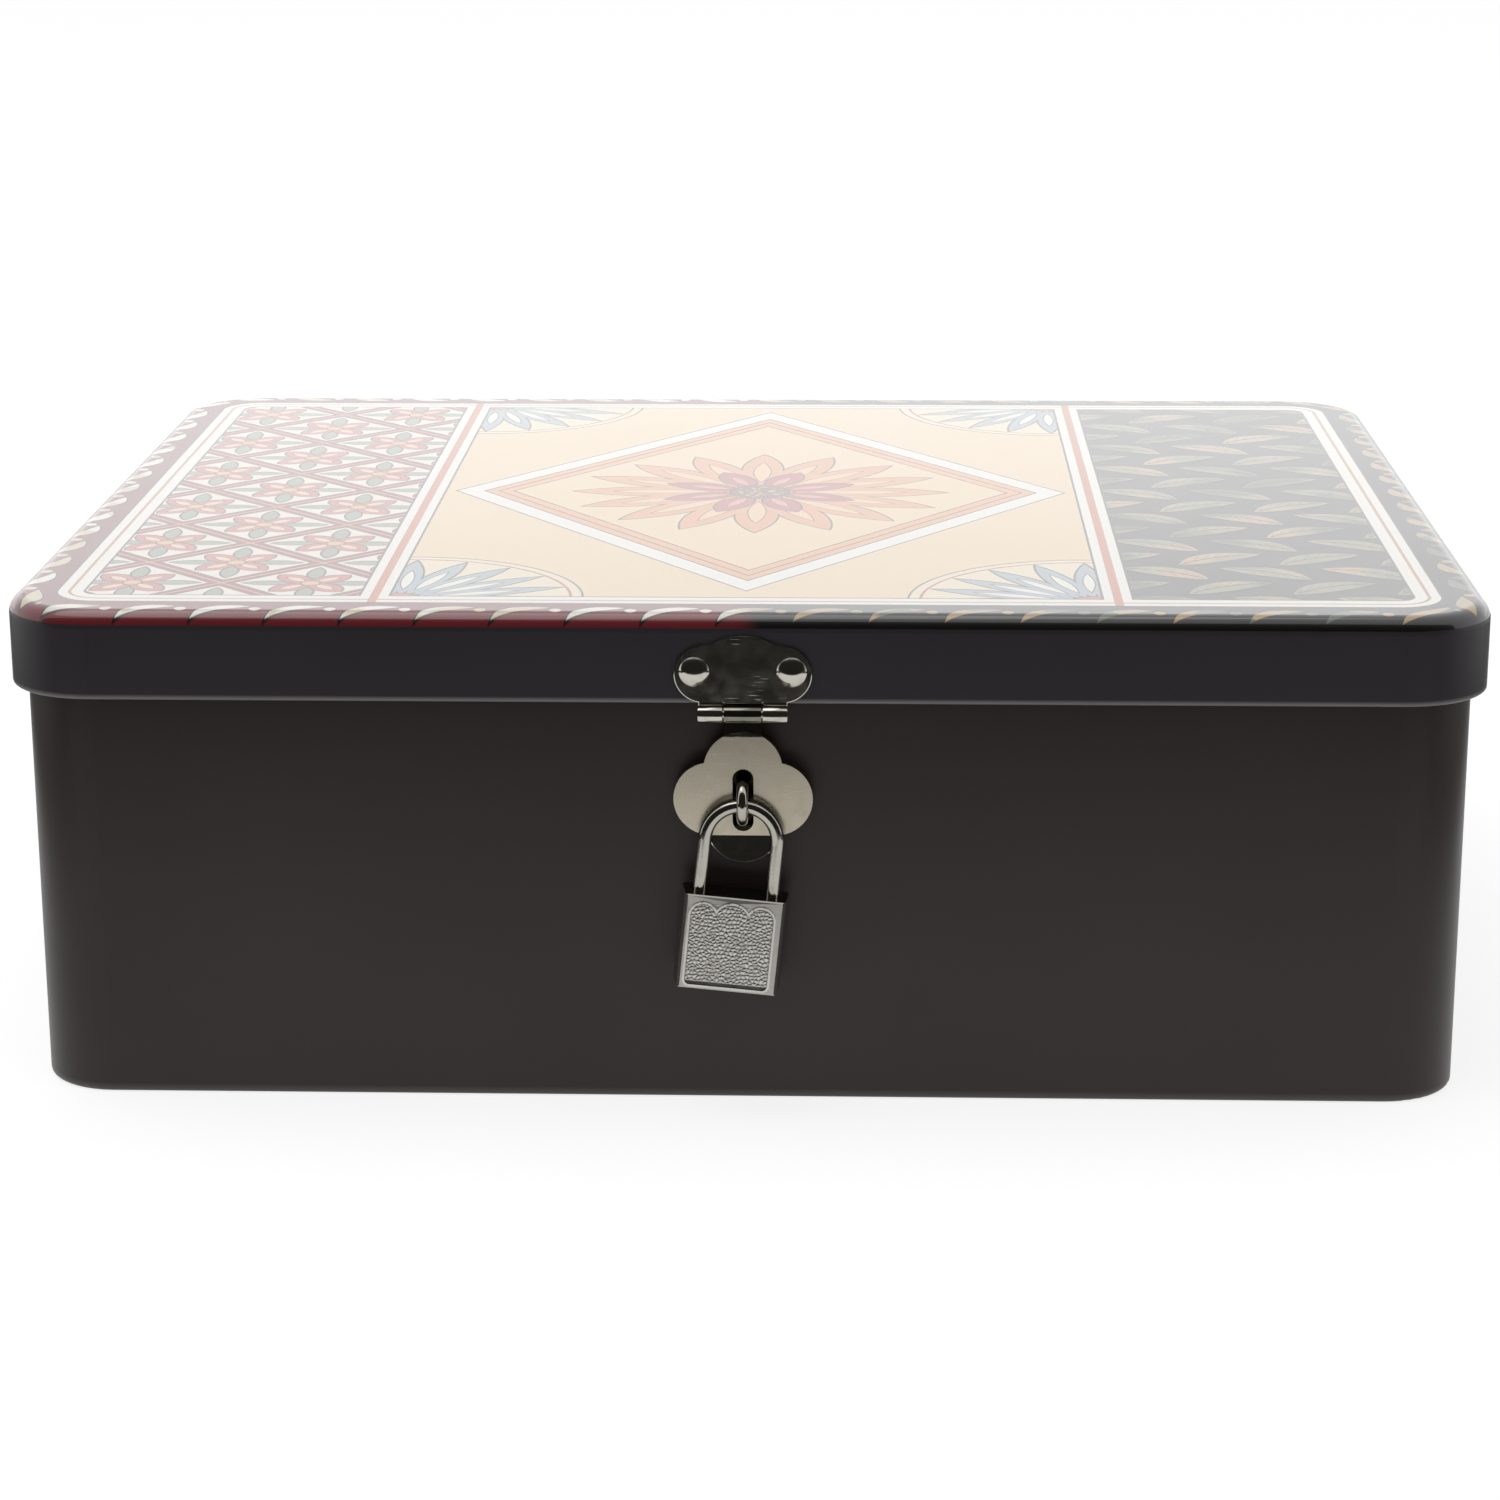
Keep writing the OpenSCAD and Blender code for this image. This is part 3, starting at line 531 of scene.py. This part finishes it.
def zinc(name, pitted=False, colour="#b4b1aa"):
    """Plated casting: a matt face, polished sides. Raised lines get a painted highlight, and pits get painted
    shade.
    """
    s = Surface(name, colour, metallic=1.0)
    depth_axis, depth_origin = panel_side()
    grain = s.noise(0.3, 3.0, 0.6)
    blotch = s.noise(4.0, 3.0, 0.6, seed=3.0)
    s.paint(blotch.fade(0.45, 0.75) * 0.4, "#96958f")
    s.paint(grain.fade(0.6, 0.8) * 0.3, "#c9c8c3")
    height = s.along(depth_axis, depth_origin) * -1.0
    # Painted highlight on the raised lines.
    s.paint(height.fade(0.1, 0.17) * 0.6, "#e8e7e3")
    matt = blotch * 0.14 + 0.34
    if pitted:
        # Painted shade in the pits.
        s.paint(height.fade(0.01, 0.07).flipped() * 0.55, "#4c4b47")
    else:
        flat = abs(s.facing(depth_axis)).fade(0.95, 0.98)
        s.paint(flat.flipped() * height.below(0.0), "#a6a49c")
        matt = matt * flat + flat.flipped() * 0.16
    s.drive("Roughness", matt)
    s.bump(grain * 0.008 + s.noise(1.3, 2.0, 0.5, seed=6.0) * 0.012)
    return s.done()


def brass():
    """Brass of the plug, dulled and finely turned."""
    s = Surface("turned_brass", "#a98d52", metallic=1.0)
    dull = s.noise(1.2, 3.0, 0.6)
    s.paint(dull.fade(0.45, 0.75) * 0.6, "#6d5a36")
    s.drive("Roughness", dull * 0.2 + 0.26)
    s.bump(s.noise(0.12, 1.0, 0.5, (40, 40, 1)) * 0.004)
    return s.done()


def spring_steel():
    """Plain drawn steel with a trace of oil."""
    s = Surface("spring_steel", "#8c8c8e", metallic=1.0)
    oil = s.noise(0.9, 3.0, 0.6)
    s.paint(oil.fade(0.5, 0.75) * 0.5, "#5d5a52")
    s.drive("Roughness", oil * 0.16 + 0.22)
    s.bump(s.noise(0.1, 1.0, 0.5) * 0.002)
    return s.done()


def dress(node, material):
    """Gives a CAD node its finish."""
    slots = frame["nodes"][node].data.materials
    slots.clear()
    slots.append(material)


def soften(node, width):
    """Rounds the sharp edges of a CAD node a little."""
    piece = frame["nodes"][node]
    weld = piece.modifiers.new("weld", "WELD")
    weld.merge_threshold = 0.01 * MM
    bevel = piece.modifiers.new("round_edges", "BEVEL")
    bevel.width = width * MM
    bevel.segments = 2
    bevel.limit_method = "ANGLE"
    bevel.angle_limit = math.radians(38)


def case_axes():
    """The hanging padlock's own origin and axes, in the row frame, in metres."""
    x_axis = Vector(joint("latch_slide")["axis"]) * -1.0
    z_axis = Vector(joint("shackle_release")["axis"]) * -1.0
    origin = Vector(joint("padlock_swing")["pos_m"])
    return origin, x_axis.normalized(), z_axis.cross(x_axis).normalized(), z_axis.normalized()


def span(node, origin, axis):
    """How far a node reaches along an axis, in millimetres."""
    reach = [(v.co - origin).dot(axis) / MM for v in frame["nodes"][node].data.vertices]
    return min(reach), max(reach)


def panel_side():
    """The padlock's own y axis, and the point where it meets the front of the case."""
    origin, x_axis, y_axis, z_axis = case_axes()
    return y_axis, origin - y_axis * span("padlock_case_back", origin, y_axis)[1] * MM


def panel_distance(x, z, low, high):
    """Signed distance to the padlock panel's outline, for arrays of points."""
    top = high - PANEL_TOP_MARGIN
    bottom = low + PANEL_LOW_MARGIN
    side_z = top - PANEL_SIDE_DROP - PANEL_SIDE_R
    middle = np.hypot(x, z - top + PANEL_MID_R) - PANEL_MID_R
    sides = np.hypot(np.abs(x) - PANEL_SIDE_X, z - side_z) - PANEL_SIDE_R
    r = PANEL_CORNER_R
    qx = np.abs(x) - (PANEL_HALF_W - r)
    qz = np.maximum(bottom + r - z, z - side_z + r)
    corner = np.hypot(np.maximum(qx, 0), np.maximum(bottom + r - z, 0))
    outer = corner + np.minimum(np.maximum(qx, qz), 0) - r
    block = np.maximum(outer, z - side_z)
    return np.minimum(np.minimum(middle, sides), block)


def pebble_relief(x, z):
    """Heights from 0 to 1 of packed pebbles over a grid of points."""
    dice = random.Random(PEBBLE_SEED)
    reach = PANEL_HALF_W + PEBBLE_PITCH
    count = int(2 * reach / PEBBLE_PITCH) + 1
    middle = float(z.mean())
    jitter = 0.4
    far = 9.0
    nearest = np.full(x.shape, far)
    second = np.full(x.shape, far)
    lift = np.zeros(x.shape)
    for i in range(count):
        for k in range(count + 1):
            px = -reach + (i + 0.5 * (k % 2) + dice.uniform(-jitter, jitter)) * PEBBLE_PITCH
            pz = middle - reach + (k + dice.uniform(-jitter, jitter)) * PEBBLE_PITCH
            height = dice.uniform(0.6, 1.0)
            lean = dice.uniform(-0.5, 0.9)
            stretch = dice.uniform(1.0, 1.25)
            c, s = math.cos(lean), math.sin(lean)
            along = (x - px) * c + (z - pz) * s
            across = (z - pz) * c - (x - px) * s
            distance = np.hypot(along / stretch, across * math.sqrt(stretch))
            closer = distance < nearest
            second = np.where(closer, nearest, np.minimum(second, distance))
            lift = np.where(closer, height, lift)
            nearest = np.minimum(nearest, distance)
    valley_w = 0.5
    gap = np.clip((second - nearest) / valley_w, 0, 1)
    return lift * gap * (2 - gap)


def pebbled_panel(material, foot_shadow_material):
    """The pebbled field inside the raised line on the padlock's front, with painted shadow along its foot."""
    origin, x_axis, y_axis, z_axis = case_axes()
    low, high = span("padlock_case_back", origin, z_axis)
    face = -span("padlock_case_back", origin, y_axis)[1]
    columns = np.arange(-PANEL_HALF_W, PANEL_HALF_W + PEBBLE_GRID, PEBBLE_GRID) + PANEL_X
    rows = np.arange(low, high + PEBBLE_GRID, PEBBLE_GRID)
    x, z = np.meshgrid(columns, rows, indexing="ij")
    inset = -panel_distance(x - PANEL_X, z, low, high)
    side_slope_w, foot_slope_h, floor_h = 0.25, 0.2, 0.01
    gutter_top = low + PANEL_LOW_MARGIN + PANEL_LINE_W + PANEL_GUTTER_H
    gutter = np.clip((z - gutter_top) / foot_slope_h, 0, 1)
    fade = np.minimum(np.clip((inset - PANEL_LINE_W) / side_slope_w, 0, 1), gutter)
    height = PEBBLE_HEIGHT * pebble_relief(x, z) * fade + floor_h

    bm = bmesh.new()
    verts = {}

    def corner(i, k):
        if (i, k) not in verts:
            place = x_axis * x[i, k] + y_axis * (face - height[i, k]) + z_axis * z[i, k]
            verts[i, k] = bm.verts.new(origin + place * MM)
        return verts[i, k]

    keep = PANEL_LINE_W / 2
    for i in range(len(columns) - 1):
        for k in range(len(rows) - 1):
            if inset[i:i + 2, k:k + 2].min() > keep:
                cell = [corner(i, k), corner(i + 1, k), corner(i + 1, k + 1), corner(i, k + 1)]
                # Faces in the gutter take the dark material, a painted shadow.
                bm.faces.new(cell).material_index = int(gutter[i, k] < 0.5)
    rim = [e for e in bm.edges if e.is_boundary]
    walls = bmesh.ops.extrude_edge_only(bm, edges=rim)["geom"]
    sunk = 0.06
    back = face + sunk
    for v in [g for g in walls if isinstance(g, bmesh.types.BMVert)]:
        v.co += y_axis * (back * MM - (v.co - origin).dot(y_axis))
    bmesh.ops.holes_fill(bm, edges=[e for e in bm.edges if e.is_boundary], sides=0)
    bmesh.ops.recalc_face_normals(bm, faces=bm.faces)
    mesh = bpy.data.meshes.new("padlock_pebbles")
    bm.to_mesh(mesh)
    bm.free()
    for coat in (material, foot_shadow_material):
        mesh.materials.append(coat)
    mesh.polygons.foreach_set("use_smooth", [True] * len(mesh.polygons))
    piece = bpy.data.objects.new("padlock_pebbles", mesh)
    bpy.context.scene.collection.objects.link(piece)
    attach(piece, "padlock_case")


def finishes():
    """Gives every CAD node its material."""
    paint = enamel()
    for node in ("base_wall", "base_bottom"):
        dress(node, paint)
    dress("lid_shell", printed_lid())
    bright = nickel("nickel_bright", "#bdb9b0", 0.1)
    wire = nickel("nickel_wire", "#aba89f", 0.11, 0.4, seed=8.0)
    casting = zinc("zinc_casting")
    steel = spring_steel()
    by_slot = {"nickel_plate": bright, "shackle_steel": wire, "padlock_metal": casting,
               "plug_metal": brass(), "spring_steel": steel}
    for part in frame["record"]["subparts"]:
        if part["material_slot"] in by_slot:
            dress(part["node"], by_slot[part["material_slot"]])
    dress("hasp_flap", flap_plate())
    dress("staple_plate", tarnish_and_painted_dark_plate())
    dress("staple", wire)


def rounded_edges():
    """Sheet edges and castings lose their sharp corners."""
    sheets = ["hasp_plate", "hasp_flap", "staple_plate"]
    for side in ("left", "right"):
        sheets += [f"hinge_{side}_lid_leaf", f"hinge_{side}_base_leaf"]
    for node in sheets:
        soften(node, 0.3)
    for node in ("padlock_case_front", "padlock_case_back"):
        soften(node, 0.2)


def plain_material(name):
    """A material with no shader yet, its node tree and the node that its shader goes into."""
    material = bpy.data.materials.new(name)
    material.use_nodes = True
    tree = material.node_tree
    tree.nodes.clear()
    return material, tree, tree.nodes.new("ShaderNodeOutputMaterial")


def seen_rays(tree):
    """1 for rays from the camera and for those that metal and glass send on."""
    path = tree.nodes.new("ShaderNodeLightPath")
    seen = Field(tree, path.outputs["Is Camera Ray"])
    seen = seen.most(Field(tree, path.outputs["Is Glossy Ray"]))
    return seen.most(Field(tree, path.outputs["Is Transmission Ray"]))


def floor():
    """A wide pale floor that keeps the object's shadow."""
    size = 30.0
    bpy.ops.mesh.primitive_plane_add(size=size, location=(0, 0, 0))
    plane = bpy.context.object
    plane.name = "floor"
    material, tree, out = plain_material("floor_white")
    diffuse = tree.nodes.new("ShaderNodeBsdfDiffuse")
    diffuse.inputs["Color"].default_value = (FLOOR_GREY, FLOOR_GREY, FLOOR_GREY, 1)
    glow = tree.nodes.new("ShaderNodeEmission")
    feed(tree, glow.inputs["Strength"], seen_rays(tree) * FLOOR_GLOW)
    both = tree.nodes.new("ShaderNodeAddShader")
    tree.links.new(diffuse.outputs[0], both.inputs[0])
    tree.links.new(glow.outputs[0], both.inputs[1])
    tree.links.new(both.outputs[0], out.inputs["Surface"])
    plane.data.materials.append(material)


def reflection_card(name, size, place, turn):
    """An upright card that only metal and gloss can see. Returns its tree and its emission node."""
    bpy.ops.mesh.primitive_plane_add(size=1.0)
    card = bpy.context.object
    card.name = name
    card.data.transform(Matrix.Diagonal((*size, 1, 1)))
    card.data.transform(Matrix.Rotation(turn, 4, "Z") @ Matrix.Rotation(math.pi / 2, 4, "X"))
    card.location = place
    material, tree, out = plain_material(name)
    glow = tree.nodes.new("ShaderNodeEmission")
    tree.links.new(glow.outputs[0], out.inputs["Surface"])
    card.data.materials.append(material)
    card.visible_camera = False
    card.visible_diffuse = False
    card.visible_transmission = False
    card.visible_shadow = False
    return tree, glow


def dark_card(name, size, place, turn):
    """A dark wall of the studio."""
    tree, glow = reflection_card(name, size, place, turn)
    glow.inputs["Color"].default_value = (1.0, 0.98, 0.88, 1)
    glow.inputs["Strength"].default_value = DARK_GLOW


def bright_card(name, size, place):
    """A bright wall far behind the box, brightest low down, which pales the lid's gloss."""
    tree, glow = reflection_card(name, size, place, 0.0)
    places = tree.nodes.new("ShaderNodeTexCoord")
    split = tree.nodes.new("ShaderNodeSeparateXYZ")
    tree.links.new(places.outputs["Generated"], split.inputs[0])
    height = Field(tree, split.outputs["Z"])
    feed(tree, glow.inputs["Strength"], height.fade(0.75, 0.2) * 0.5 + 1.0)


def area_light(name, place, target, width, height, watts):
    """A softbox that the camera doesn't see."""
    light = bpy.data.lights.new(name, "AREA")
    light.shape = "RECTANGLE"
    light.size = width
    light.size_y = height
    light.energy = watts
    lamp = bpy.data.objects.new(name, light)
    lamp.location = place
    lamp.rotation_euler = (Vector(target) - Vector(place)).to_track_quat("-Z", "Y").to_euler()
    lamp.visible_camera = False
    bpy.context.scene.collection.objects.link(lamp)


def studio():
    """World, softbox, floor, and the dark and bright sides of the room."""
    world = bpy.data.worlds.new("studio")
    bpy.context.scene.world = world
    world.use_nodes = True
    tree = world.node_tree
    background = tree.nodes["Background"]
    background.inputs["Color"].default_value = (1, 1, 1, 1)
    feed(tree, background.inputs["Strength"], seen_rays(tree) * (1 - AMBIENT) + AMBIENT)
    area_light("softbox_above", (-0.4, 0.2, 1.8), (0, 0, 0.05), 1.6, 1.2, 9.0)
    floor()
    dark_card("dark_room_front", (1.4, 0.48), (0, DARK_ROOM_Y, 0.258), 0.0)
    for side in (-1, 1):
        dark_card(f"dark_room_side_{side}", (0.6, 0.045), (side * DARK_SIDE_X, 0, 0.0225), math.pi / 2)
    bright_card("bright_wall", (5.0, 1.1), (0, 2.2, 0.75))


def camera():
    """The photograph's camera."""
    data = bpy.data.cameras.new("camera")
    data.lens = CAMERA_LENS
    data.sensor_width = CAMERA_SENSOR
    data.clip_start = 0.01
    view = bpy.data.objects.new("camera", data)
    turn = (Matrix.Rotation(CAMERA_YAW, 4, "Z") @ Matrix.Rotation(math.pi / 2 + CAMERA_PITCH, 4, "X")
            @ Matrix.Rotation(CAMERA_ROLL, 4, "Z"))
    view.matrix_world = Matrix.Translation(CAMERA_PLACE) @ turn
    bpy.context.scene.collection.objects.link(view)
    bpy.context.scene.camera = view


camera()
studio()
finishes()
rounded_edges()
# The dark zinc along the panel's foot is a painted shadow.
pebbled_panel(zinc("zinc_pebbles", pitted=True), zinc("zinc_foot_painted_shadow", pitted=True, colour="#343330"))
bpy.context.scene.view_settings.view_transform = "Standard"
